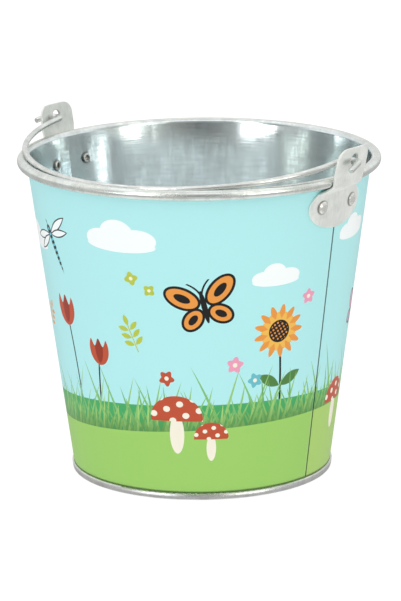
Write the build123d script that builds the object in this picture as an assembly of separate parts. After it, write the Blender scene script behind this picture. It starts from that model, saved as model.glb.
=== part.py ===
from build123d import *
import os
from math import asin, atan2, cos, degrees, hypot, pi, radians, sin, tan

# Child's tin bucket with a folding wire bail, in millimetres.
# +Z is up, the ears are on +X and -X, the folded bail lies forward towards -Y,
# and the origin is the middle of the foot, on the surface that the bucket stands on.

# --- Bucket wall, rolled rim and lock seam ---
sheet = 0.35                    # tinned steel sheet of the wall and the base
fold_gap = 0.06                 # play left between folded layers of sheet
foot_radius = 58.75             # outer face of the wall, carried down to z = 0
rim_radius = 82.5               # outermost line of the rolled rim
rim_height = 146.3              # crest of the rolled rim
rim_wire_diameter = 3.8         # stiffening wire inside the curl
rim_wire_play = 0.1             # radial play of that wire inside the curl
rim_wire_break = 0.8            # gap between the butted ends of that wire
curl_opening = 44.0             # degrees of the curl left open, against the wall
seam_width = 4.6                # width of the grooved lock seam
seam_hook_play = 0.8            # each folded edge stops this far short of the other's fold
seam_step = 0.4                 # width of the step where the wall dives under the seam
seam_notch = 6.0                # the seam's folds stop this far below the rim wire

# --- Base pan and foot ring ---
foot_ring_height = 3.4          # height of the folded foot ring
foot_corner = 0.2               # inner bend radius of the foot ring
base_recess = 3.0               # underside of the base panel, above the ground
base_corner = 1.0               # inner bend radius between panel and skirt
panel_inset = 14.75             # foot radius in to the stiffening step of the panel
panel_step = 1.2                # height of that step
panel_slope = 2.4               # width of that step
panel_corner = 1.5              # bend radius of that step

# --- Ears ---
ear_plate = 1.0                 # thickness of the stamped ear
ear_seat_gap = 0.05             # play between ear and wall
ear_rim_gap = 0.25              # clearance between ear and rolled rim
ear_rise = 13.0                 # top edge of the tab above the rim's crest
ear_disc_drop = 13.9            # middle of the riveted disc below the rim's crest
ear_disc_width = 36.4           # disc, across
ear_disc_depth = 20.8           # disc, up and down
ear_tab_width = 22.2            # tab, across its widest line
ear_widest_rise = 1.2           # that line above the rim's crest
ear_tab_taper = 0.8             # the top edge is narrower by this much
ear_root_width = 16.4           # the tab's flanks, carried down to the middle of the disc
ear_waist_radius = 4.0          # fillet from the disc into the tab's flanks
ear_flank_radius = 9.0          # rounding at the tab's widest line
ear_corner_radius = 5.2         # rounded top corners of the tab
ear_edge_round = 0.2            # sheared edges, rounded by tumbling
ear_splay = 6.0                 # degrees that the right tab is bent out, further than the left one
joggle_angle = 50.0             # slope of the offset bend over the rim
joggle_radius = 1.2             # inner radius of both of its bends

# --- Rivets ---
rivet_spacing = 21.4            # between the two rivets of an ear, along the wall
rivet_above_disc = 0.4          # rivets above the middle of the disc
rivet_shank_diameter = 3.2
rivet_head_diameter = 6.0
rivet_head_edge = 0.3           # straight edge under the dome of the head
rivet_dome = 1.1                # height of the dome above that edge
rivet_tail_diameter = 4.5       # rolled tail inside the bucket
rivet_tail_height = 1.1
rivet_tail_round = 0.5          # rounded outer edge of the tail
rivet_tube_wall = 0.6           # wall of the semi-tubular shank
rivet_bore_mouth = 0.35         # flare of that hollow at the tail
rivet_hole_play = 0.04          # radial play of the shank in its holes
rivet_seat_gap = 0.06           # play under the head and under the tail

# --- Bail ---
bail_wire_diameter = 2.6
bail_flattening = 5.9           # the bow reaches less far than the bail's half span
bail_side_turn = 45.0           # degrees that each side arc turns before the wider middle arc
bail_rest_gap = 0.3             # clearance to the rim where the folded bail rests
pivot_rise = 6.8                # hinge line above the rim's crest
ear_hole_slack = 2.4            # the ear's hole is wider than the wire by this much
pivot_gap = 0.5                 # clearance under the wire, which hangs low in that hole
pin_inside = 1.2                # straight wire between the arm's bend and the ear
bend_inside = 0.7               # inner radius of the bends either side of the ear
hook_gap = 0.4                  # clearance between hook and the right ear, which stands further out
bail_end_chamfer = 0.25         # broken edge of the cut wire
hook_length_right = 7.9         # hinge line to the cut end
hook_length_left = 8.3
hook_droop_right = 18.0         # degrees that the hook falls below the plane of the bail
hook_droop_left = 1.0

# --- Worked out from the sizes above ---
curl_inner = rim_wire_diameter / 2 + rim_wire_play
curl_outer = curl_inner + sheet
rim_line_radius = rim_radius - curl_outer               # circle of the rim wire's middle line
rim_line_height = rim_height - curl_outer
wall_lean = atan2(rim_line_radius - foot_radius, rim_line_height) - asin(
    curl_inner / hypot(rim_line_radius - foot_radius, rim_line_height)
)                                                       # radians; the wall is tangent to the curl
layer = sheet + fold_gap                                # pitch of folded layers
seam_top = rim_line_height - seam_notch
seam_foot = foot_ring_height + layer
ear_inner = curl_outer + ear_rim_gap                    # tab's inner face, out from the rim wire
ear_top = rim_height + ear_rise
ear_disc_height = rim_height - ear_disc_drop
joggle_end = -ear_inner * tan(radians(joggle_angle / 2))    # up the wall from the rim wire's middle line
pivot_height = rim_height + pivot_rise
wire_radius = bail_wire_diameter / 2
bend_radius = wire_radius + bend_inside                 # of the wire's middle line
ear_hole_radius = wire_radius + ear_hole_slack / 2
ear_hole_height = pivot_height + ear_hole_slack / 2 - pivot_gap
bail_half_span = (
    rim_line_radius + ear_inner / cos(wall_lean) + (pivot_height - rim_line_height) * tan(wall_lean)
) - pin_inside - bend_radius                            # middle of the bucket to either arm


def wall_point(height, outward):
    """Point (radius, height), at a distance outward, square to the wall's outer face."""
    foot = foot_radius + height * tan(wall_lean)
    return Vector(foot + outward * cos(wall_lean), height - outward * sin(wall_lean))


def wall_line(height, outward):
    """Point (radius, height) at exactly that height, on the wall's line moved outwards."""
    return Vector(foot_radius + height * tan(wall_lean) + outward / cos(wall_lean), height)


def by_rim_wire(outward, upward):
    """Point (radius, height) from the rim wire's middle: outward from and up along the wall."""
    radius = rim_line_radius + outward * cos(wall_lean) + upward * sin(wall_lean)
    return Vector(radius, rim_line_height - outward * sin(wall_lean) + upward * cos(wall_lean))


def tab_point(splay, height, outward):
    """Point (radius, height) at that height, on the inner face of an ear's tab moved outwards."""
    foot = by_rim_wire(ear_inner, joggle_end)
    lean = wall_lean + radians(splay)
    return Vector(foot.X + (height - foot.Y) * tan(lean) + outward / cos(lean), height)


def round_rim_wire(turn, distance):
    """Point (radius, height) round the rim wire: turn 0 is away from the wall, 90 is up."""
    return by_rim_wire(distance * cos(radians(turn)), distance * sin(radians(turn)))


def closed_face(one_side, other_side):
    """Face between two open sides, each a list of edges that run the same way."""
    first_end = Line(other_side[0] @ 0, one_side[0] @ 0)
    last_end = Line(one_side[-1] @ 1, other_side[-1] @ 1)
    return Face(Wire([first_end, *one_side, last_end, *other_side]))


def spun(section):
    """Ring swept right round the bucket by a face drawn in (radius, height)."""
    return revolve(Plane.XZ * section, Axis.Z)


def folded_sheet(points, radii, thickness):
    """Face of a folded sheet that lies to the right of a path of (radius, height) points.

    radii are the bend radii on the path itself. The far side's corners are mitred, and its
    bends are larger or smaller than the path's by the thickness, so that bends stay concentric.
    """
    points = [Vector(point) for point in points]
    ways = [(end - start).normalized() for start, end in zip(points, points[1:])]
    rights = [Vector(way.Y, -way.X) for way in ways]
    far = [points[0] + rights[0] * thickness]
    far_radii = []
    for point, before, after, way, radius in zip(points[1:], rights, rights[1:], ways, radii):
        far.append(point + (before + after) * (thickness / (1 + before.dot(after))))
        turns_left = way.dot(after) > 0
        far_radii.append(radius + thickness if turns_left else radius - thickness)
    far.append(points[-1] + rights[-1] * thickness)
    return closed_face(
        FilletPolyline(*points, radius=radii).edges(), FilletPolyline(*far, radius=far_radii).edges()
    )


def rolled_rim():
    """Top of the wall: a short cone that curls outwards over the rim wire."""
    end = curl_opening - 180

    def side(radius):
        tangent = by_rim_wire(-radius, 0)
        middle = round_rim_wire((180 + end) / 2, radius)
        curl = ThreePointArc(tangent, middle, round_rim_wire(end, radius))
        return [Line(by_rim_wire(-radius, -seam_notch - curl_outer), tangent), curl]

    ring = spun(closed_face(side(curl_outer), side(curl_inner)))
    return split(ring, bisect_by=Plane.XY.offset(seam_top), keep=Keep.TOP)


def foot_hook():
    """Foot of the wall: a short cone whose edge is folded outwards and up."""
    fold = fold_gap / 2
    fold_height = sheet + fold_gap + sheet + fold
    hook_top = foot_ring_height - sheet - fold_gap

    def side(depth):
        start = wall_point(fold_height, -depth)
        bottom = wall_point(fold_height, fold) - Vector(sin(wall_lean), cos(wall_lean)) * (fold + depth)
        end = wall_point(fold_height, fold_gap + depth)
        down = Line(wall_point(seam_foot + sheet, -depth), start)
        up = Line(end, wall_point(hook_top, fold_gap + depth))
        return [down, ThreePointArc(start, bottom, end), up]

    ring = spun(closed_face(side(0), side(sheet)))
    return split(ring, bisect_by=Plane.XY.offset(seam_foot), keep=Keep.BOTTOM)


def seam_side(height, depth):
    """One side of the wall's sheet, right round a level section, with its edges hooked together.

    One edge stays flush, then folds inwards and back to grip the other. The other steps in
    behind it, then folds outwards and back to tuck into that grip. depth 0 is the side of the
    sheet that is outermost on the wall, and depth 1 is its other side.
    """
    outer = wall_line(height, 0).X
    level = sheet / cos(wall_lean)              # thickness and pitch in a level section
    pitch = layer / cos(wall_lean)
    skin = depth * level
    under = 3 * pitch                           # how far in the tucked edge runs
    fold_reach = pitch + level / 2              # a fold's outermost line to its centre
    grip_radius = fold_reach - skin
    tuck_radius = pitch - level / 2 + skin
    grip_along = -fold_reach
    tuck_along = fold_reach - seam_width
    tuck_inward = under - pitch + level / 2
    circumference = 2 * pi * outer
    mitre = skin * (hypot(seam_step, under) - seam_step) / under

    def at(along, inward):
        angle = along / outer
        return Vector((outer - inward) * cos(angle), (outer - inward) * sin(angle), height)

    def round_to(start, end, inward):
        return ThreePointArc(at(start, inward), at((start + end) / 2, inward), at(end, inward))

    def fold(along, inward, radius, way):
        start = at(along, inward + radius)
        return ThreePointArc(start, at(along + way * radius, inward), at(along, inward - radius))

    stops = [grip_along]
    stops += [-circumference * quarter / 4 for quarter in (1, 2, 3)]
    stops += [seam_step + mitre - circumference]
    once_round = [round_to(start, end, skin) for start, end in zip(stops, stops[1:])]
    return [
        round_to(tuck_along + seam_hook_play, grip_along, fold_reach + grip_radius),
        fold(grip_along, fold_reach, grip_radius, 1),
        *once_round,
        Line(at(stops[-1], skin), at(mitre, under + skin)),
        round_to(mitre, tuck_along, under + skin),
        fold(tuck_along, tuck_inward, tuck_radius, -1),
        round_to(tuck_along, grip_along - seam_hook_play, tuck_inward - tuck_radius),
    ]


def seam_section(height):
    """Level section through the whole wall sheet at a height."""
    return closed_face(seam_side(height, 0), seam_side(height, 1))


def seamed_cone():
    """The wall between foot and rim, with its lock seam."""
    return loft([seam_section(seam_foot), seam_section(seam_top)], ruled=True)


def rivet_places(side):
    """Locations of an ear's two rivets, front one first, with +Z outwards through the wall."""
    seat = wall_point(ear_disc_height + rivet_above_disc, 0)
    swing = degrees(rivet_spacing / 2 / seat.X)
    square = Location(Plane(origin=(seat.X, 0, seat.Y), z_dir=(cos(wall_lean), 0, -sin(wall_lean))))
    middle = 0 if side > 0 else 180
    return [Location((0, 0, 0), (0, 0, middle + turn * side)) * square for turn in (-swing, swing)]


def rivet_holes():
    """Drills for all the rivet holes, long enough for the wall and the ears."""
    through = 4 * (sheet + ear_seat_gap + ear_plate)
    drill = Cylinder(rivet_shank_diameter / 2 + rivet_hole_play, through)
    return [place * drill for side in (1, -1) for place in rivet_places(side)]


def bucket_wall():
    """The wall: one sheet, seamed, rolled over the rim wire and hooked at the foot."""
    wall = seamed_cone() + rolled_rim() + foot_hook()
    return wall - rivet_holes()


def rim_wire():
    """Stiffening wire inside the rolled rim, butted over the lock seam."""
    middle = Plane.XZ * Pos(rim_line_radius, rim_line_height) * Circle(rim_wire_diameter / 2)
    half_break = degrees(rim_wire_break / 2 / rim_line_radius)
    return Rot(0, 0, half_break) * revolve(middle, Axis.Z, 360 - 2 * half_break)


def base_pan():
    """Pressed bottom whose edge is folded out under the wall's hook, up round it and over it."""
    panel = base_recess + sheet
    skirt = -sheet - fold_gap                           # out from the wall's outer face
    ring = fold_gap + sheet + fold_gap
    top = foot_ring_height - sheet
    step_foot = foot_radius - panel_inset
    path = [
        (0, panel + panel_step),
        (step_foot - panel_slope, panel + panel_step),
        (step_foot, panel),
        wall_line(panel, skirt),
        wall_line(sheet, skirt),
        wall_line(sheet, ring),
        wall_point(top, ring),
        wall_point(top, fold_gap),
    ]
    radii = [panel_corner + sheet, panel_corner, base_corner + sheet] + 3 * [foot_corner]
    return spun(folded_sheet(path, radii, sheet))


def ear_blank():
    """Outline of the ear, seen from the side of the bucket: a riveted disc with a tab above it."""
    half_root = ear_root_width / 2
    half_tab = ear_tab_width / 2
    half_top = half_tab - ear_tab_taper / 2
    widest = rim_height + ear_widest_rise
    right_flank = [(half_root, ear_disc_height), (half_tab, widest), (half_top, ear_top)]
    left_flank = [(-across, height) for across, height in reversed(right_flank)]
    roundings = [ear_flank_radius, ear_corner_radius, ear_corner_radius, ear_flank_radius]
    edge = FilletPolyline(*right_flank, *left_flank, radius=roundings)
    tab = make_face([edge, Line(edge @ 1, edge @ 0)])
    blank = Pos(0, ear_disc_height) * Ellipse(ear_disc_width / 2, ear_disc_depth / 2) + tab
    shoulder = ear_disc_height + ear_disc_depth / 4     # the tab leaves the disc above this
    waist = blank.vertices().filter_by_position(Axis.Y, shoulder, widest).sort_by(Axis.Y)[:2]
    return fillet(waist, ear_waist_radius)


def sheared_edges(plate):
    """Edges where the cut faces of a bent plate meet its two skins, which alone are cones and tori."""
    skins = plate.faces().filter_by(GeomType.CONE) + plate.faces().filter_by(GeomType.TORUS)
    cuts = plate.faces() - skins
    return skins.edges() & cuts.edges()


def ear(splay):
    """Stamped ear on +X: seated on the wall, joggled out over the rim, with the bail's hole.

    splay is how many degrees its tab leans out beyond the wall.
    """
    seat_line = ear_seat_gap - curl_inner
    joggle_rise = (ear_inner - seat_line) / tan(radians(joggle_angle))
    spare = ear_disc_depth                              # the strip runs past the outline
    path = [
        by_rim_wire(seat_line, ear_disc_height - rim_line_height - spare),
        by_rim_wire(seat_line, joggle_end - joggle_rise),
        by_rim_wire(ear_inner, joggle_end),
        tab_point(splay, ear_top + spare, 0),
    ]
    strip = spun(folded_sheet(path, [joggle_radius + ear_plate, joggle_radius], ear_plate))
    punch = extrude(Plane.YZ * ear_blank(), 2 * rim_radius)
    drill = extrude(Plane.YZ * Pos(0, ear_hole_height) * Circle(ear_hole_radius), 2 * rim_radius)
    plate = (strip & punch) - drill
    return fillet(sheared_edges(plate), ear_edge_round) - rivet_holes()


def rivet():
    """Semi-tubular rivet about +Z: domed head above the ear, rolled tail inside the wall."""
    head = rivet_head_diameter / 2
    shank = rivet_shank_diameter / 2
    tail = rivet_tail_diameter / 2
    bore = shank - rivet_tube_wall
    head_seat = ear_seat_gap + ear_plate + rivet_seat_gap
    head_edge = head_seat + rivet_head_edge
    tail_seat = -sheet - rivet_seat_gap
    tail_end = tail_seat - rivet_tail_height
    outline = [
        TangentArc((0, head_edge + rivet_dome), (head, head_edge), tangent=(1, 0)),
        Polyline(
            (head, head_edge),
            (head, head_seat),
            (shank, head_seat),
            (shank, tail_seat),
            (tail, tail_seat),
            (tail, tail_end + rivet_tail_round),
        ),
        TangentArc(
            (tail, tail_end + rivet_tail_round), (tail - rivet_tail_round, tail_end), tangent=(0, -1)
        ),
        Line((tail - rivet_tail_round, tail_end), (bore + rivet_bore_mouth, tail_end)),
        TangentArc(
            (bore + rivet_bore_mouth, tail_end), (bore, tail_end + rivet_bore_mouth), tangent=(-1, 0)
        ),
        Polyline((bore, tail_end + rivet_bore_mouth), (bore, 0), (0, 0), (0, head_edge + rivet_dome)),
    ]
    return spun(Face(Wire([edge for piece in outline for edge in piece.edges()])))


def bail_bow():
    """The bail's bow, flat in XY and bowed towards -Y: two side arcs and a wider one between."""
    rise = bail_half_span - bail_flattening - bend_radius
    turn = radians(bail_side_turn)
    shift = (bail_half_span - rise) / (cos(turn) + sin(turn) - 1)
    side_radius = bail_half_span - shift * cos(turn)
    front_radius = side_radius + shift
    side_centre = Vector(shift * cos(turn), -bend_radius)
    front_centre = Vector(0, shift * sin(turn) - bend_radius)

    def on_side(angle):
        return side_centre + Vector(cos(angle), -sin(angle)) * side_radius

    def mirrored(point):
        return Vector(-point.X, point.Y)

    start, middle, join = on_side(0), on_side(turn / 2), on_side(turn)
    front = front_centre - Vector(0, front_radius)
    return [
        ThreePointArc(start, middle, join),
        ThreePointArc(join, front, mirrored(join)),
        ThreePointArc(mirrored(join), mirrored(middle), mirrored(start)),
    ]


def bail_hook(side, length, droop):
    """Middle line of one end, from the arm out along the hinge and back forward as a hook."""
    hook_line = tab_point(ear_splay, ear_top, ear_plate).X + hook_gap + wire_radius
    outward = Vector(side, 0, 0)
    arm_way = Vector(0, -1, 0)
    hook_way = Vector(0, -cos(radians(droop)), -sin(radians(droop)))
    pin_start = outward * (bail_half_span + bend_radius)
    pin_end = outward * (hook_line - bend_radius)
    diagonal = bend_radius * sin(radians(45))
    arm_bend = pin_start + arm_way * bend_radius            # centres of the two bends
    hook_bend = pin_end + hook_way * bend_radius
    arm_end = arm_bend - outward * bend_radius
    hook_start = hook_bend + outward * bend_radius
    return [
        ThreePointArc(arm_end, arm_bend - (outward + arm_way) * diagonal, pin_start),
        Line(pin_start, pin_end),
        ThreePointArc(pin_end, hook_bend + (outward - hook_way) * diagonal, hook_start),
        Line(hook_start, outward * hook_line + hook_way * length),
    ]


def clearance_to_rim(dip):
    """Gap between the bail and the rolled rim, with the bail dipped so many degrees below level."""
    samples = 40                                            # along each arc of the bow
    places = [edge @ (step / samples) for edge in bail_bow() for step in range(samples + 1)]
    middle_lines = [
        hypot(
            hypot(place.X, place.Y * cos(radians(dip))) - rim_line_radius,
            pivot_height + place.Y * sin(radians(dip)) - rim_line_height,
        )
        for place in places
    ]
    return min(middle_lines) - curl_outer - wire_radius


def resting_dip():
    """Degrees below level at which the folded bail comes to rest on the rim, found by halving."""
    clear, touching = 0.0, 30.0
    while touching - clear > 0.001:
        middle = (clear + touching) / 2
        if clearance_to_rim(middle) > bail_rest_gap:
            clear = middle
        else:
            touching = middle
    return clear


def bail():
    """Wire bail, folded forward onto the rim."""
    route = [
        *bail_bow(),
        *bail_hook(1, hook_length_right, hook_droop_right),
        *bail_hook(-1, hook_length_left, hook_droop_left),
    ]
    spans = [sweep(Plane(run @ 0, z_dir=run % 0) * Circle(wire_radius), path=run) for run in route]
    wire = spans[0] + spans[1:]
    wire = chamfer(wire.faces().filter_by(GeomType.PLANE).edges(), bail_end_chamfer)
    return Pos(0, 0, pivot_height) * Rot(resting_dip(), 0, 0) * wire


def parts():
    """Every piece of the bucket by its node name."""
    pieces = {
        "bucket_wall": bucket_wall(),
        "rim_wire": rim_wire(),
        "base_pan": base_pan(),
        "ear_right": ear(ear_splay),
        "ear_left": Rot(0, 0, 180) * ear(0),
        "bail": bail(),
    }
    for name, side in (("right", 1), ("left", -1)):
        for row, place in zip(("front", "back"), rivet_places(side)):
            pieces[f"rivet_{name}_{row}"] = place * rivet()
    return pieces


os.makedirs("parts", exist_ok=True)
for node, piece in parts().items():
    export_step(piece, f"parts/{node}.step")
print(f"folded bail rests {resting_dip():.3f} degrees below level")
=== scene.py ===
"""A child's printed tin bucket: its printed and bare metal, a small studio and the camera.

Materials work in millimetres on the bucket's own axes. The print is drawn on the unrolled wall:
x runs rightwards round the wall from its front, seen from outside, and y is the height.
"""

from functools import partial, reduce
from math import cos, pi, radians, sin, tan

import bpy
import numpy as np
from mathutils import Matrix, Vector


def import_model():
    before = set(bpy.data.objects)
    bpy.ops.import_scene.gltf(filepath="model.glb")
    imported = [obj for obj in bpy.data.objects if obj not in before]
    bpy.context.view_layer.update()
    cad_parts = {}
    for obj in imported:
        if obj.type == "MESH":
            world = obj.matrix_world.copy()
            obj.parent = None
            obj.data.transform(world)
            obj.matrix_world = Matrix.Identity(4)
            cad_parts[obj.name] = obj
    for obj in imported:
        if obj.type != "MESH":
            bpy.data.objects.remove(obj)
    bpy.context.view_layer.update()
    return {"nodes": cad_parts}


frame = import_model()
nodes = frame["nodes"]

MM = 0.001

# --- The wall's cone and its print, in millimetres ---
SHEET = 0.35                    # tinned steel sheet
FOOT_RADIUS = 58.75             # outer face of the wall, carried down to z = 0
WALL_SLOPE = tan(radians(7.667))
PRINT_TOP = 143.5               # above this the rolled rim turns the bare side out
PRINT_RADIUS = 70.0             # radius at which the print is as wide as it is drawn
PANEL = pi * PRINT_RADIUS       # the pictures come twice round: once in front, once behind
FOOT_RING = 3.4                 # top of the foot ring
FOOT_CREST = 0.6                # height at which the foot ring's crown is highest
SEAM = pi / 2                   # azimuth of the lock seam, under the right ear
GROOVE = (SEAM + 0.003, 0.005)  # the groove beside its fold: middle and half width, in radians
FOLD = (SEAM - 0.008, 0.006)    # the fold's edge: worn ink and a painted highlight
RIVET_HEAD = (10.8, 132.65, 0)  # across from an ear's middle, and height
RIVET_TAIL = (10.6, 132.85, 0)
HOLE_HEIGHT = 153.8             # middle of the ears' holes
GROUND = 30.5                   # mean height of the near ground, and how far it swells
GROUND_SWELL = 5.0
TURF_TOP = 40.0                 # the same of the turf behind it, and the azimuth of its crest
TURF_SWELL = 5.6
TURF_CREST = radians(52)

# --- Inks ---
SKY = "#B1EBED"
WHITE = "#F6FCFC"
DARK = "#010000"
ORANGE = "#EA9637"
AMBER = "#F0BA4A"
BRICK = "#C04922"
RUST = "#972900"
CREAM = "#F4EEDC"
LIME = "#B7C63B"
PINK = "#EC9CB8"
TEAL = "#61BCC9"
MEADOW = "#9BCF63"
MEADOW_BEHIND = "#AAD16A"
TURF = "#3BA960"
OLIVE = "#4A8137"

# --- Camera, in metres and degrees ---
CAMERA_AZIMUTH = 37.9           # off the bucket's front, towards its right ear
CAMERA_REACH = 1.6144           # from the bucket's axis, along the floor
CAMERA_HEIGHT = 0.4862
CAMERA_PITCH = 14.222           # looking down
CAMERA_ROLL = -0.578
CAMERA_LENS = 217.9             # mm, on a sensor 36 mm along its long side

# --- Studio: brightness round the bucket, by degrees of azimuth off the camera's ---
# A pale room with a lamp on either side of the camera, which stands in the dim between them. Higher
# up, the left lamp is narrow and bright and the right one is a wide, weak one.
ROOM_TOP = 4.0                  # the brightest lamp
CREAMY = (20, 60)               # the lamp between these azimuths has less blue
LOW_ROOM = [                    # at table height
    (-180, 0.9), (-100, 0.5), (-56, 0.6), (-52, 3.6), (-32, 3.6), (-28, 0.4), (0, 0.1), (28, 0.4), (32, 3.6),
    (52, 3.6), (56, 0.6), (100, 0.5), (180, 0.9),
]
HIGH_ROOM = [                   # a little above it
    (-180, 0.8), (-90, 1.0), (-60, 0.4), (-46, 0.4), (-43, 4.0), (-33, 4.0), (-30, 0.4), (0, 0.3), (22, 0.4),
    (26, 1.5), (54, 1.5), (58, 0.4), (90, 1.0), (180, 0.8),
]


def linear(colour):
    """Linear RGBA of an sRGB hex colour."""
    parts = np.array([int(colour[place:place + 2], 16) for place in (1, 3, 5)]) / 255
    curve = np.where(parts <= 0.04045, parts / 12.92, ((parts + 0.055) / 1.055) ** 2.4)
    return (*curve, 1.0)


def add_node(tree, kind, *inputs, at=None, out=0, **settings):
    """Adds a shader node, called by its kind and then its operation, and returns an output socket.

    inputs go to its sockets in order and at maps further sockets to theirs: a socket is linked,
    None is passed over, and anything else becomes the socket's value. settings are its properties.
    out None returns every output.
    """
    kind, _, operation = kind.partition(" ")
    made = tree.nodes.new("ShaderNode" + kind)
    if operation:
        made.operation = operation
    for name, value in settings.items():
        setattr(made, name, value)
    for place, value in [*enumerate(inputs), *(at or {}).items()]:
        if isinstance(value, bpy.types.NodeSocket):
            tree.links.new(value, made.inputs[place])
        elif value is not None:
            made.inputs[place].default_value = value
    return made.outputs if out is None else made.outputs[out]


def material(name):
    """A new material and the function that adds nodes to it."""
    made = bpy.data.materials.new(name)
    made.use_nodes = True
    made.node_tree.nodes.clear()
    return made, partial(add_node, made.node_tree)


def surface(add, finish):
    """Ends a material in one Principled shader with these inputs."""
    add("OutputMaterial", add("BsdfPrincipled", at=finish), out=None)


def millimetres(add):
    """Place on the object, in millimetres."""
    return add("VectorMath SCALE", add("TexCoord", out="Object"), at={"Scale": 1 / MM})


def mix(add, share, under, over):
    """Colour that goes from under to over as share goes from 0 to 1."""
    return add("Mix", at={0: share, 6: under, 7: over}, out=2, data_type="RGBA")


# --- Shapes of the print ---------------------------------------------------------------------


def placed(add, sheet, centre, half=(1, 1), turn=0):
    """A shape's own coordinates: its centre at 0, turned back, and its half size as 1."""
    return add("Mapping", sheet, (*centre, 0), (0, 0, radians(turn)), (*half, 1), vector_type="TEXTURE")


def oval(add, sheet, centre, half, turn=0):
    """1 inside an ellipse: the distance from its centre, in half sizes, is under 1."""
    far = add("VectorMath LENGTH", placed(add, sheet, centre, half, turn), out="Value")
    return add("Math LESS_THAN", far, 1.0)


def leaf(add, sheet, centre, half, turn=0):
    """1 inside a pointed leaf: |y| is under 1 - x squared."""
    x, y, _ = add("SeparateXYZ", placed(add, sheet, centre, half, turn), out=None)
    return add("Math LESS_THAN", add("Math MULTIPLY_ADD", x, x, add("Math ABSOLUTE", y)), 1.0)


def stalk(add, sheet, foot, height, width, bend=0, turn=0):
    """1 on a line that rises from its foot: |x - bend y squared| is under half its width, y from 0 to 1."""
    x, y, _ = add("SeparateXYZ", placed(add, sheet, foot, (width / 2, height), turn), out=None)
    across = add("Math MULTIPLY_ADD", add("Math MULTIPLY", y, y), -2 * bend / width, x)
    along = add("Math COMPARE", y, 0.5, 0.5)
    return add("Math MULTIPLY", add("Math COMPARE", across, 0.0, 1.0), along)


def blossom(add, sheet, centre, radius, petals, depth, turn=0):
    """1 inside a flower: distance under 1 - depth + depth cos(petals x angle), as a share of its radius."""
    own = placed(add, sheet, centre, (radius, radius), turn)
    x, y, _ = add("SeparateXYZ", own, out=None)
    lobes = add("Math COSINE", add("Math MULTIPLY", add("Math ARCTAN2", y, x), petals))
    reach = add("Math MULTIPLY_ADD", lobes, depth, 1 - depth)
    return add("Math LESS_THAN", add("VectorMath LENGTH", own, out="Value"), reach)


def dots(add, sheet, pitch, radius, turn=0):
    """1 inside the dots of a square grid: in each cell, the distance from its middle is under a radius."""
    cell = add("VectorMath FRACTION", placed(add, sheet, (0.5, 0.5), (pitch, pitch), turn))
    off = add("VectorMath SUBTRACT", cell, (0.5, 0.5, 0))
    return add("Math LESS_THAN", add("VectorMath LENGTH", off, out="Value"), radius)


def mirrored(add, sheet, centre, size, turn=0):
    """A motif's own coordinates with x made positive, so that both its sides are drawn at once."""
    x, y, _ = add("SeparateXYZ", placed(add, sheet, centre, (size, size), turn), out=None)
    return add("CombineXYZ", add("Math ABSOLUTE", x), y)


def either(add, *masks):
    """The strongest of the masks, so 1 where any of them is."""
    return reduce(partial(add, "Math MAXIMUM"), masks)


def ink(add, picture, colour, *masks):
    """The picture with a flat ink laid over it where any of the masks is 1."""
    return mix(add, either(add, *masks), picture, linear(colour))


# --- Motifs of the print ---------------------------------------------------------------------


def cloud(add, sheet, picture, centre, size):
    """A flat-footed cloud of four puffs."""
    own = placed(add, sheet, centre, (size, size))
    puffs = [((-0.52, -0.05), (0.44, 0.28)), ((-0.08, 0.13), (0.46, 0.38)), ((0.46, -0.02), (0.50, 0.30)),
             ((0.0, -0.19), (0.94, 0.18))]
    return ink(add, picture, WHITE, *[oval(add, own, *puff) for puff in puffs])


def butterfly(add, sheet, picture, centre, size, turn, wing, trim):
    """Two pairs of rimmed wings with an eyeless body and feelers."""
    own = mirrored(add, sheet, centre, size, turn)
    for middle, (long, wide), lean in (((0.50, 0.36), (0.50, 0.30), 38), ((0.37, -0.28), (0.36, 0.27), -38)):
        picture = ink(add, picture, DARK, oval(add, own, middle, (long, wide), lean))
        picture = ink(add, picture, wing, oval(add, own, middle, (long - 0.07, wide - 0.07), lean))
        picture = ink(add, picture, trim, oval(add, own, middle, (long * 0.45, wide * 0.35), lean))
    feeler = stalk(add, own, (0.02, 0.36), 0.42, 0.05, 0.16, -16)
    return ink(add, picture, DARK, oval(add, own, (0, 0), (0.075, 0.46)), feeler)


def tulip(add, sheet, picture, foot, height, size, bend):
    """A three-pointed cup on a thin stalk, between two long leaves."""
    picture = ink(add, picture, DARK, stalk(add, sheet, foot, height, 0.9, bend))
    blades = mirrored(add, sheet, foot, size)
    picture = ink(add, picture, OLIVE, leaf(add, blades, (0.55, 0.95), (1.25, 0.22), 62))
    own = placed(add, sheet, (foot[0] + bend, foot[1] + height), (0.78 * size, size))
    x, y, _ = add("SeparateXYZ", own, out=None)
    points = add("Math MULTIPLY_ADD", add("Math COSINE", add("Math MULTIPLY", x, 7.4)), 0.24, 0.42)
    cup = add("Math MULTIPLY", oval(add, own, (0, 0), (1, 1)), add("Math LESS_THAN", y, points))
    fold = add("Math MULTIPLY", cup, oval(add, own, (0, 0.25), (0.42, 1.1)))
    picture = ink(add, picture, BRICK, cup)
    return ink(add, picture, RUST, fold)


def sunflower(add, sheet, picture, foot, height, size, bend):
    """A ring of petals round a seed head, on a thin stalk with two leaves."""
    picture = ink(add, picture, DARK, stalk(add, sheet, foot, height, 1.1, bend))
    leaves = mirrored(add, sheet, (foot[0] + 0.3 * bend, foot[1] + 0.42 * height), size)
    picture = ink(add, picture, OLIVE, leaf(add, leaves, (0.46, 0.2), (0.5, 0.2), 28))
    centre = (foot[0] + bend, foot[1] + height)
    picture = ink(add, picture, ORANGE, blossom(add, sheet, centre, size, 13, 0.17))
    picture = ink(add, picture, AMBER, blossom(add, sheet, centre, 0.74 * size, 13, 0.17, 14))
    picture = ink(add, picture, DARK, oval(add, sheet, centre, (0.42 * size, 0.42 * size)))
    seeded = oval(add, sheet, centre, (0.36 * size, 0.36 * size))
    seeds = add("Math MULTIPLY", seeded, dots(add, sheet, 1.7, 0.28, 30))
    return ink(add, picture, ORANGE, seeds)


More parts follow.
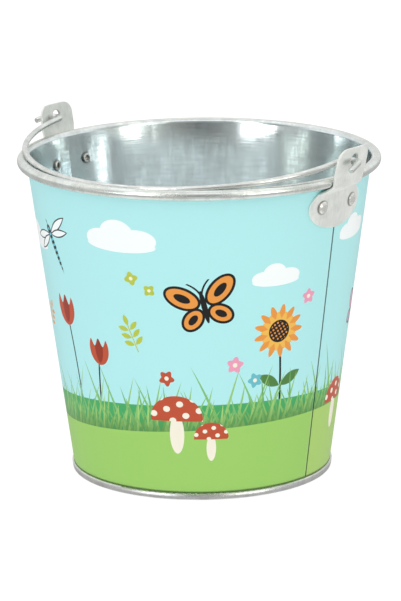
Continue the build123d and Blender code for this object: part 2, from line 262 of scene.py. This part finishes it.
def toadstool(add, sheet, picture, foot, size):
    """A round spotted cap on a pale stalk."""
    x, y = foot
    picture = ink(add, picture, CREAM, oval(add, sheet, (x, y + 0.5 * size), (0.24 * size, 0.62 * size)))
    own = placed(add, sheet, (x, y + size), (0.86 * size, 0.72 * size))
    _, up, _ = add("SeparateXYZ", own, out=None)
    cap = add("Math MULTIPLY", oval(add, own, (0, 0), (1, 1)), add("Math GREATER_THAN", up, -0.12))
    picture = ink(add, picture, BRICK, cap)
    return ink(add, picture, CREAM, add("Math MULTIPLY", cap, dots(add, own, 0.55, 0.24, 24)))


def dragonfly(add, sheet, picture, centre, size, turn):
    """Two pairs of pale wings across a long banded body."""
    own = mirrored(add, sheet, centre, size, turn)
    for middle, (long, wide), lean in (((0.56, 0.34), (0.54, 0.14), 12), ((0.50, 0.10), (0.48, 0.13), -12)):
        picture = ink(add, picture, DARK, leaf(add, own, middle, (long, wide), lean))
        picture = ink(add, picture, WHITE, leaf(add, own, middle, (long - 0.07, wide - 0.04), lean))
    picture = ink(add, picture, DARK, oval(add, own, (0, 0.36), (0.11, 0.15)))
    body = leaf(add, own, (0, -0.16), (0.88, 0.085), 90)
    _, y, _ = add("SeparateXYZ", own, out=None)
    bands = add("Math LESS_THAN", add("Math FRACT", add("Math MULTIPLY", y, 6.0)), 0.45)
    picture = ink(add, picture, DARK, body)
    return ink(add, picture, TEAL, add("Math MULTIPLY", body, bands))


def sprig(add, sheet, picture, centre, size, turn, colour):
    """A twig with three pairs of leaflets and one at its tip."""
    own = mirrored(add, sheet, centre, size, turn)
    leaflets = [leaf(add, own, (0.30, y), (0.30, 0.13), 32) for y in (-0.45, -0.05, 0.35)]
    tip = leaf(add, own, (0, 0.72), (0.30, 0.13), 90)
    return ink(add, picture, colour, *leaflets, tip, stalk(add, own, (0, -1.0), 1.6, 0.06))


def posy(add, sheet, picture, centre, radius, petals, turn, colour):
    """A small flower with a round eye."""
    picture = ink(add, picture, colour, blossom(add, sheet, centre, radius, petals, 0.16, turn))
    return ink(add, picture, CREAM, oval(add, sheet, centre, (0.27 * radius, 0.27 * radius)))


def grass(add, picture, azimuth, rise, row, seed):
    """A row of blades, one to a cell of the girth, each of its own height, sway and green.

    The cells lean by a slant. In a cell, u goes from 0 to 1 and v from 0 at the foot to 1 at the tip.
    A blade's middle line is at u = start + sway v squared, and its half width is width (1 - v squared).
    """
    blades, slant, low, high, width, greens = row
    straight = add("Math MULTIPLY_ADD", azimuth, blades / (2 * pi), seed)
    along = add("Math MULTIPLY_ADD", rise, -slant * blades / (2 * pi * PRINT_RADIUS), straight)
    chance = add("TexWhiteNoise", at={"W": add("Math FLOOR", along)}, out="Color", noise_dimensions="1D")
    ranges = ((0.4, 0.5, high - low), (0.3, -0.25, low))
    start, sway, tall = add("SeparateXYZ", add("VectorMath MULTIPLY_ADD", chance, *ranges), out=None)
    up = add("Math DIVIDE", rise, tall)
    up = add("Math MULTIPLY", up, up)
    middle = add("Math MULTIPLY_ADD", up, sway, start)
    off = add("Math ABSOLUTE", add("Math SUBTRACT", add("Math FRACT", along), middle))
    blade = add("Math LESS_THAN", off, add("Math MULTIPLY_ADD", up, -width, width))
    green = mix(add, start, linear(greens[0]), linear(greens[1]))
    return mix(add, blade, picture, green)


def meadow(add, picture, azimuth, height):
    """Rolling ground with turf behind it and rows of grass that stand against the sky.

    The ground's edge is at GROUND + GROUND_SWELL sin(azimuth), and the turf's is at
    TURF_TOP + TURF_SWELL cos(azimuth - TURF_CREST). Right of the seam the ground is a lighter green,
    which fades away towards the back.
    """
    ground = add("Math MULTIPLY_ADD", add("Math SINE", azimuth), GROUND_SWELL, GROUND)
    rise = add("Math SUBTRACT", height, ground)
    off_crest = add("Math COSINE", add("Math SUBTRACT", azimuth, TURF_CREST))
    turf = add("Math MULTIPLY_ADD", off_crest, TURF_SWELL, TURF_TOP)
    picture = ink(add, picture, TURF, add("Math LESS_THAN", height, turf))
    # Blades, slant, shortest, tallest, half width in cells, and the two greens between which they vary
    rows = [
        (44, -0.42, 14, 33, 0.075, ("#62B06A", "#8CC873")),
        (52, 0.30, 12, 30, 0.085, ("#74B865", "#A5D27A")),
        (64, -0.12, 8, 25, 0.10, ("#4E9E58", "#7FBF63")),
        (58, 0.50, 8, 22, 0.095, ("#6DB862", "#9ED074")),
        (76, -0.30, 6, 20, 0.12, ("#57A457", "#98CC6A")),
        (84, 0.14, 5, 17, 0.13, ("#83C265", "#B4DC80")),
        (96, -0.48, 4, 14, 0.14, ("#63AE58", "#A0D06C")),
        (104, 0.34, 3, 12, 0.16, ("#76B858", "#55984C")),
    ]
    for order, row in enumerate(rows):
        picture = grass(add, picture, azimuth, rise, row, 3.0 + 16 * order)
    shade = add("MapRange", rise, 0.0, 8.0, 0.62, 0.0)
    picture = mix(add, shade, picture, linear(OLIVE))
    fading = add("MapRange", azimuth, radians(120), radians(170), 1.0, 0.0)
    lighter = add("Math MULTIPLY", add("Math GREATER_THAN", azimuth, SEAM), fading)
    green = mix(add, lighter, linear(MEADOW), linear(MEADOW_BEHIND))
    return mix(add, add("Math LESS_THAN", rise, 0.0), picture, green)


def printed_picture(add, azimuth, height):
    """The whole print: sky, clouds, meadow and its flowers and insects, none with a face."""
    along = add("Math WRAP", add("Math MULTIPLY", azimuth, PRINT_RADIUS), PANEL / 2, -PANEL / 2)
    sheet = add("CombineXYZ", along, height)
    picture = linear(SKY)
    for centre, size in (((12, 122), 17), ((-50, 112), 14), ((80, 104), 12), ((-92, 118), 13)):
        picture = cloud(add, sheet, picture, centre, size)
    picture = tulip(add, sheet, picture, (-22, 26), 58, 8.5, -4)
    picture = tulip(add, sheet, picture, (-8, 26), 42, 7.5, 3)
    picture = sunflower(add, sheet, picture, (86, 34), 44, 12.5, -3)
    picture = meadow(add, picture, azimuth, height)
    picture = toadstool(add, sheet, picture, (34, 24), 15)
    picture = toadstool(add, sheet, picture, (51, 20), 10)
    picture = toadstool(add, sheet, picture, (-88, 24), 13)
    picture = butterfly(add, sheet, picture, (48, 92), 17, 14, ORANGE, DARK)
    picture = butterfly(add, sheet, picture, (-72, 74), 12, -24, PINK, TEAL)
    picture = dragonfly(add, sheet, picture, (-30, 114), 15, 25)
    picture = sprig(add, sheet, picture, (14, 78), 9, 20, LIME)
    picture = sprig(add, sheet, picture, (-48, 76), 8, -28, ORANGE)
    for centre, radius, petals, turn, colour in (
        ((62, 64), 4.0, 5, 10, PINK), ((72, 56), 3.6, 5, 40, TEAL), ((30, 58), 3.8, 5, 60, BRICK),
        ((16, 104), 3.2, 4, 15, LIME), ((24, 99), 2.8, 4, 50, LIME), ((98, 92), 3.6, 5, 20, PINK),
    ):
        picture = posy(add, sheet, picture, centre, radius, petals, turn, colour)
    return picture


# --- Finishes --------------------------------------------------------------------------------
# MapRange takes a value, the two ends that it is read between and the two that these become.


def streaks(add, place, across, along, detail=3.0, turn=(0, 0, 0)):
    """Noise drawn out into streaks, given how many there are to a millimetre on each axis."""
    drawn = add("Mapping", place, at={"Rotation": turn, "Scale": (across, across, along)})
    return add("TexNoise", at={"Vector": drawn, "Scale": 1.0, "Detail": detail, "Roughness": 0.6})


def tin_finish(add, place, tint, fine_share=1.0, crown=None, dull=0.0):
    """Inputs for bright tinplate: hot-dipped sheet, rolled level, then handled and wiped.

    Rolling leaves level lines about a millimetre apart and stretches each reflection up and down.
    Wiping leaves fine strokes and soft slanting smears a centimetre long; real strokes are finer
    than these, which are over a millimetre apart so that they show. The thin sheet springs, so its
    face waves over several centimetres and is fluted over one, by hundredths of a millimetre.
    tint is the clean metal's colour. fine_share is how much of the lines and strokes is left where
    the sheet has been rolled over. crown is a further height in the same units, and dull is added to
    the roughness.
    """
    lines = streaks(add, place, 0.08, 1.0, 3.0)
    strokes = streaks(add, place, 0.8, 0.06, 3.0, (0.1, 0.1, 0))
    smears = streaks(add, place, 0.20, 0.07, 8.0, (0.5, 0.35, 0.3))
    cloudy = streaks(add, place, 0.05, 0.03, 3.0)
    waves = streaks(add, place, 0.022, 0.010, 1.0)
    flutes = streaks(add, place, 0.16, 0.012, 2.0)
    fine = add("Math MULTIPLY_ADD", lines, 0.40, add("Math MULTIPLY", strokes, 0.30))
    relief = add("Math MULTIPLY", fine, add("Math MULTIPLY", fine_share, 0.6))
    form = add("Math MULTIPLY_ADD", waves, 5.0, add("Math MULTIPLY_ADD", flutes, 0.7, relief))
    if crown:
        form = add("Math ADD", form, crown)
    wiped = add("Math MULTIPLY_ADD", fine, 0.6, add("Math MULTIPLY", cloudy, 0.2))
    tone = add("Math MULTIPLY_ADD", smears, 0.4, wiped)
    clean = add("MapRange", tone, 0.42, 0.58)
    bloom = mix(add, add("MapRange", cloudy, 0.4, 0.6, 0.0, 0.25), tint, linear("#D9E4EE"))
    return {
        "Base Color": mix(add, clean, mix(add, 0.34, tint, linear("#8C9598")), bloom),
        "Metallic": 1.0,
        "Roughness": add("Math ADD", add("MapRange", tone, 0.42, 0.58, 0.20, 0.06), dull),
        "Anisotropic": 0.5,
        "Tangent": add("Tangent", direction_type="RADIAL", axis="Z"),
        "Normal": add("Bump", at={"Height": form, "Distance": 0.045 * MM, "Strength": 1.0}),
    }


def round_wall(add, place):
    """Azimuth, in radians rightwards from the bucket's front."""
    x, y, _ = add("SeparateXYZ", place, out=None)
    return add("Math ARCTAN2", x, add("Math MULTIPLY", y, -1.0))


def off_wall(add, place):
    """Height, and how far out a place is from the wall's outer face."""
    x, y, height = add("SeparateXYZ", place, out=None)
    radius = add("VectorMath LENGTH", add("CombineXYZ", x, y), out="Value")
    face = add("Math MULTIPLY_ADD", height, WALL_SLOPE, FOOT_RADIUS)
    return height, add("Math SUBTRACT", radius, face)


def on_ear(add, place):
    """A place seen along X, with Y made positive, so that both rivets of both ears are at one spot."""
    _, y, height = add("SeparateXYZ", place, out=None)
    return add("CombineXYZ", add("Math ABSOLUTE", y), height)


def lithographed_tinplate():
    """Tinplate printed on one side: flat inks under satin lacquer outside, bare bright tin inside.

    The inks cover the metal, so outside it is no metal to the eye but a smooth enamel. Where the
    lock seam folds over, its edge is painted pale: the ink is worn thin there, and a painted highlight
    lies along the bent edge. The groove beside it, a line just above the foot ring and a ring round
    each rivet's tail inside are darkened with painted shade, as shade falls in these crevices. The bare
    side is a little hazed, and where the rim turns it out the rolls have pressed its lines flat and dulled
    it.
    """
    made, add = material("lithographed_tinplate")
    place = millimetres(add)
    azimuth = round_wall(add, place)
    height, off_face = off_wall(add, place)
    groove = add("Math COMPARE", azimuth, *GROOVE)
    in_groove = add("Math MULTIPLY", groove, add("Math COMPARE", off_face, -0.5, 0.6))
    outside = add("Math MAXIMUM", add("Math COMPARE", off_face, 0.0, SHEET / 2), in_groove)
    printed = add("Math MULTIPLY", outside, add("Math LESS_THAN", height, PRINT_TOP))
    picture = printed_picture(add, azimuth, height)
    # Pale line along the fold: ink worn thin, and a painted highlight on the bent edge.
    fold = add("Math COMPARE", azimuth, *FOLD)
    picture = mix(add, add("Math MULTIPLY", fold, 0.14), picture, linear(WHITE))
    # Painted shade in the groove beside the seam and in the crevice just above the foot ring.
    foot_ring_shade = add("MapRange", height, FOOT_RING + 0.2, FOOT_RING + 0.8, 0.75, 0.0)
    crevice_shade = add("Math MAXIMUM", add("Math MULTIPLY", groove, 0.7), foot_ring_shade)
    picture = mix(add, crevice_shade, picture, linear("#14301C"))
    turned_out = add("MapRange", off_face, -0.3, 0.6)
    # Painted shade in a ring round each rivet's tail, on the bare inside.
    off_rivet = add("VectorMath DISTANCE", on_ear(add, place), RIVET_TAIL, out="Value")
    rivet_tail_shade = add("MapRange", off_rivet, 2.3, 3.0, 0.7, 0.0)
    tint = mix(add, turned_out, linear("#EBF4F4"), linear("#F2F5EE"))
    fine_share = add("MapRange", turned_out, 0.0, 1.0, 1.0, 0.1)
    dull = add("Math MULTIPLY", turned_out, 0.13)
    tin = tin_finish(add, place, mix(add, rivet_tail_shade, tint, linear("#3A403E")), fine_share, dull=dull)
    surface(add, tin | {
        "Base Color": mix(add, printed, tin["Base Color"], picture),
        "Metallic": add("MapRange", printed, 0.0, 1.0, 0.92, 0.0),
        "Roughness": add("Mix", printed, None, tin["Roughness"], 0.42),
        "Coat Weight": add("Math MULTIPLY", printed, 0.2),
        "Coat Roughness": 0.2,
    })
    return made


def bright_tinplate():
    """Bare tinplate, softly mirroring. The seaming rollers leave the foot ring crowned, and use scuffs it.

    The crown falls off by the square of the distance from its crest.
    """
    made, add = material("bright_tinplate")
    place = millimetres(add)
    _, _, height = add("SeparateXYZ", place, out=None)
    off_crest = add("Math SUBTRACT", height, FOOT_CREST)
    crown = add("Math MULTIPLY", add("Math MULTIPLY", off_crest, off_crest), -2.4)
    surface(add, tin_finish(add, place, linear("#EDECE8"), 0.12, crown, 0.2))
    return made


def galvanised_plate():
    """Galvanised steel, stamped: matt light grey, brushed up and down, with painted shade round what is
    fixed in it.

    Its zinc has a thin dull skin, which is thicker in some patches and hides the metal there. Painted
    shade darkens it against the rivet heads and round the hole, it is faintly darker below the hole,
    and in front of the hole, where the folded bail passes, a painted shadow of the wire darkens it.
    Real brush strokes are finer than these, which are over half a millimetre apart so that they show.
    """
    made, add = material("galvanised_plate")
    place = millimetres(add)
    flank = on_ear(add, place)
    brushed = streaks(add, place, 1.6, 0.12, 4.0)
    patches = streaks(add, place, 0.16, 0.12, 5.0)
    spangle = add("TexVoronoi", at={"Vector": place, "Scale": 0.4}, out="Color")
    crystal, _, _ = add("SeparateColor", spangle, out=None)
    skin = add("Math MULTIPLY_ADD", crystal, 0.12, add("Math MULTIPLY", patches, 0.44))
    tone = add("Math MULTIPLY_ADD", brushed, 0.5, skin)
    colour = mix(add, add("MapRange", tone, 0.36, 0.7), linear("#E4E8E3"), linear("#FAFBF7"))
    off_rivet = add("VectorMath DISTANCE", flank, RIVET_HEAD, out="Value")
    off_hole = add("VectorMath DISTANCE", flank, (0, HOLE_HEIGHT, 0), out="Value")
    smear = placed(add, flank, (0.0, HOLE_HEIGHT - 3.6), (2.6, 3.4))
    below_hole = add("VectorMath LENGTH", smear, out="Value")
    _, y, height = add("SeparateXYZ", place, out=None)
    # Painted shadow of the bail's wire, on the face in front of the hole.
    wire_shadow_spot = placed(add, add("CombineXYZ", y, height), (-5.0, HOLE_HEIGHT - 0.3), (4.2, 1.8))
    before_hole = add("VectorMath LENGTH", wire_shadow_spot, out="Value")
    wire_shadow = add("MapRange", before_hole, 0.2, 1.0, 0.5, 0.0)
    # Painted shade against the rivet heads and round the hole, a faint darkening below the hole, and the
    # wire's painted shadow.
    darkening = either(
        add,
        add("MapRange", off_rivet, 2.9, 3.6, 0.6, 0.0),
        add("MapRange", off_hole, 2.5, 3.1, 0.4, 0.0),
        add("MapRange", below_hole, 0.2, 1.0, 0.14, 0.0),
        add("Math MULTIPLY", wire_shadow, add("MapRange", brushed, 0.3, 0.7, 0.6, 1.3)),
    )
    darkening = add("Math MULTIPLY", darkening, add("MapRange", patches, 0.3, 0.7, 1.2, 0.7))
    surface(add, {
        "Base Color": mix(add, darkening, colour, linear("#5E625C")),
        "Metallic": add("MapRange", patches, 0.35, 0.65, 0.57, 0.42),
        "Roughness": add("MapRange", tone, 0.35, 0.7, 0.36, 0.5),
        "Normal": add("Bump", at={"Height": tone, "Distance": 0.03 * MM, "Strength": 1.0}),
    })
    return made


def zinc_rivet():
    """Bright zinc plate on a cold-headed, semi-tubular rivet: smooth and shiny, a little scuffed.

    Painted shade darkens the crease round the head and, inside the bucket, the edge of the tail and its
    hollow.
    """
    made, add = material("zinc_rivet")
    place = millimetres(add)
    _, off_face = off_wall(add, place)
    inside = add("Math LESS_THAN", off_face, -SHEET)
    scuffs = streaks(add, place, 1.4, 0.5, 4.0, (0.4, 0.7, 0.2))
    metal = mix(add, add("MapRange", scuffs, 0.35, 0.62), linear("#D6D6CF"), linear("#FAFAF6"))
    off_tail = add("VectorMath DISTANCE", on_ear(add, place), RIVET_TAIL, out="Value")
    off_head = add("VectorMath DISTANCE", on_ear(add, place), RIVET_HEAD, out="Value")
    # Painted shade in the crease round the head, at the tail's edge and in its hollow.
    crease = add("MapRange", off_head, 2.55, 2.95, 0.0, 0.6)
    tail_edge_shade = add("MapRange", off_tail, 1.95, 2.25, 0.0, 0.7)
    hollow = add("Math MULTIPLY", add("Math COMPARE", off_tail, 1.1, 0.25), 0.7)
    darkening = add("Mix", inside, None, crease, add("Math MAXIMUM", tail_edge_shade, hollow))
    surface(add, {
        "Base Color": mix(add, darkening, metal, linear("#3C3C37")),
        "Metallic": add("MapRange", scuffs, 0.35, 0.65, 0.75, 0.9),
        "Roughness": add("MapRange", scuffs, 0.35, 0.65, 0.34, 0.18),
        "Normal": add("Bump", at={"Height": scuffs, "Distance": 0.02 * MM, "Strength": 1.0}),
    })
    return made


def drawn_wire():
    """Galvanised wire, drawn through a die and bent: silky, with faint drag marks and dull patches.

    Real drag marks are finer than these, which are a third of a millimetre apart so that they show.
    """
    made, add = material("drawn_wire")
    place = millimetres(add)
    drag = streaks(add, place, 0.35, 3.0, 3.0)
    patches = streaks(add, place, 0.12, 0.12, 5.0)
    tone = add("Math MULTIPLY_ADD", drag, 0.4, add("Math MULTIPLY", patches, 0.6))
    colour = mix(add, add("MapRange", tone, 0.38, 0.62), linear("#D3D7D3"), linear("#F3F5F2"))
    surface(add, {
        "Base Color": colour,
        "Metallic": 1.0,
        "Roughness": add("MapRange", patches, 0.35, 0.65, 0.36, 0.2),
        "Normal": add("Bump", at={"Height": drag, "Distance": 0.01 * MM, "Strength": 1.0}),
    })
    return made


def dress(names, finish):
    """Gives CAD nodes their finish."""
    for name in names:
        nodes[name].data.materials.clear()
        nodes[name].data.materials.append(finish)


dress(["bucket_wall"], lithographed_tinplate())
dress(["rim_wire", "base_pan"], bright_tinplate())
dress(["ear_right", "ear_left"], galvanised_plate())
dress([name for name in nodes if name.startswith("rivet")], zinc_rivet())
dress(["bail"], drawn_wire())


# --- Studio ----------------------------------------------------------------------------------


def floor():
    """A milky glass table, lit from below, so that it is as pale as paper and takes hardly a shadow.

    Its own colour is a mid grey, so that the light that falls on it adds little to its glow.
    """
    half = 15.0
    top = -0.1 * MM                 # just under the bucket's foot, so that the two faces don't coincide
    mesh = bpy.data.meshes.new("floor")
    corners = [(-half, -half, top), (half, -half, top), (half, half, top), (-half, half, top)]
    mesh.from_pydata(corners, [], [(0, 1, 2, 3)])
    piece = bpy.data.objects.new("floor", mesh)
    bpy.context.collection.objects.link(piece)
    made, add = material("lit_table")
    surface(add, {
        "Base Color": linear("#7C7C7C"),
        "Roughness": 0.9,
        "Emission Color": (1, 1, 1, 1),
        "Emission Strength": 0.86,
    })
    mesh.materials.append(made)
    piece.visible_glossy = False


def softbox(name, azimuth, elevation, reach, width, height, power):
    """A flat white lamp that faces the bucket, at an azimuth off the camera's and an elevation."""
    turn = radians(CAMERA_AZIMUTH + azimuth)
    lift = radians(elevation)
    back = Vector((sin(turn) * cos(lift), -cos(turn) * cos(lift), sin(lift)))
    lamp = bpy.data.lights.new(name, "AREA")
    lamp.shape = "RECTANGLE"
    lamp.size = width
    lamp.size_y = height
    lamp.energy = power
    piece = bpy.data.objects.new(name, lamp)
    piece.location = Vector((0, 0, 0.1)) + back * reach
    piece.rotation_euler = back.to_track_quat("Z", "Y").to_euler()
    piece.visible_camera = False
    bpy.context.collection.objects.link(piece)


def world():
    """The room that the tin mirrors: pale all round, with two lamps and dimness between them.

    Brightness goes by the azimuth off the camera's, in LOW_ROOM and then HIGH_ROOM. Above these is an
    even ceiling, dimmer straight overhead, and below the horizon a sweep of floor, dimmer far off than
    straight down. lift is the sine of the elevation. To the eye itself the room is white.
    """
    def level(bright, blue=1.0):
        """Grey of a brightness, as a share of the brightest lamp, and creamier with less blue."""
        return (bright / ROOM_TOP, bright / ROOM_TOP, blue * bright / ROOM_TOP, 1)

    made = bpy.data.worlds.new("studio")
    made.use_nodes = True
    made.node_tree.nodes.clear()
    add = partial(add_node, made.node_tree)
    direction = add("TexCoord", out="Generated")
    turned = add("Mapping", direction, at={"Rotation": (0, 0, radians(90 - CAMERA_AZIMUTH))})
    x, y, lift = add("SeparateXYZ", turned, out=None)
    share = add("Math MULTIPLY_ADD", add("Math ARCTAN2", y, x), 0.5 / pi, 0.5)
    rooms = []
    for lamps in (LOW_ROOM, HIGH_ROOM):
        rooms.append(add("ValToRGB", share))
        stops = rooms[-1].node.color_ramp.elements
        stops[0].position, stops[1].position = 0.0, 1.0
        for azimuth, _ in lamps[1:-1]:
            stops.new(0.5 + azimuth / 360)
        for stop, (azimuth, bright) in zip(stops, lamps):
            stop.color = level(bright, 0.94 if CREAMY[0] < azimuth < CREAMY[1] else 1.0)
    room = mix(add, add("MapRange", lift, 0.09, 0.13), *rooms)
    high = add("MapRange", lift, 0.5, 0.85, interpolation_type="SMOOTHSTEP")
    zenith = add("MapRange", lift, 0.88, 0.97, interpolation_type="SMOOTHSTEP")
    low = add("MapRange", lift, -0.02, -0.12, interpolation_type="SMOOTHSTEP")
    under = add("MapRange", lift, -0.6, -0.85, interpolation_type="SMOOTHSTEP")
    sweep = mix(add, under, level(0.5), level(0.86))
    overhead = mix(add, zenith, level(1.0), level(0.5))
    glow = add("Background", mix(add, low, mix(add, high, room, overhead), sweep), ROOM_TOP)
    paper = add("Background", (1, 1, 1, 1), 1.1)
    add("OutputWorld", add("MixShader", add("LightPath", out="Is Camera Ray"), glow, paper), out=None)
    bpy.context.scene.world = made


def camera():
    """The camera, placed by its azimuth, reach and height, and turned by its pitch and roll."""
    turn, pitch, roll = radians(CAMERA_AZIMUTH), radians(CAMERA_PITCH), radians(CAMERA_ROLL)
    back = Vector((sin(turn) * cos(pitch), -cos(turn) * cos(pitch), sin(pitch)))
    right = Vector((cos(turn), sin(turn), 0))
    up = back.cross(right)
    right, up = right * cos(roll) + up * sin(roll), up * cos(roll) - right * sin(roll)
    lens = bpy.data.cameras.new("camera")
    lens.lens = CAMERA_LENS
    lens.clip_end = 100
    piece = bpy.data.objects.new("camera", lens)
    place = Vector((CAMERA_REACH * sin(turn), -CAMERA_REACH * cos(turn), CAMERA_HEIGHT))
    piece.matrix_world = Matrix.Translation(place) @ Matrix((right, up, back)).transposed().to_4x4()
    bpy.context.collection.objects.link(piece)
    bpy.context.scene.camera = piece


floor()
world()
softbox("overhead", azimuth=0, elevation=88, reach=1.4, width=1.4, height=1.4, power=2)
camera()
bpy.context.scene.view_settings.view_transform = "Standard"
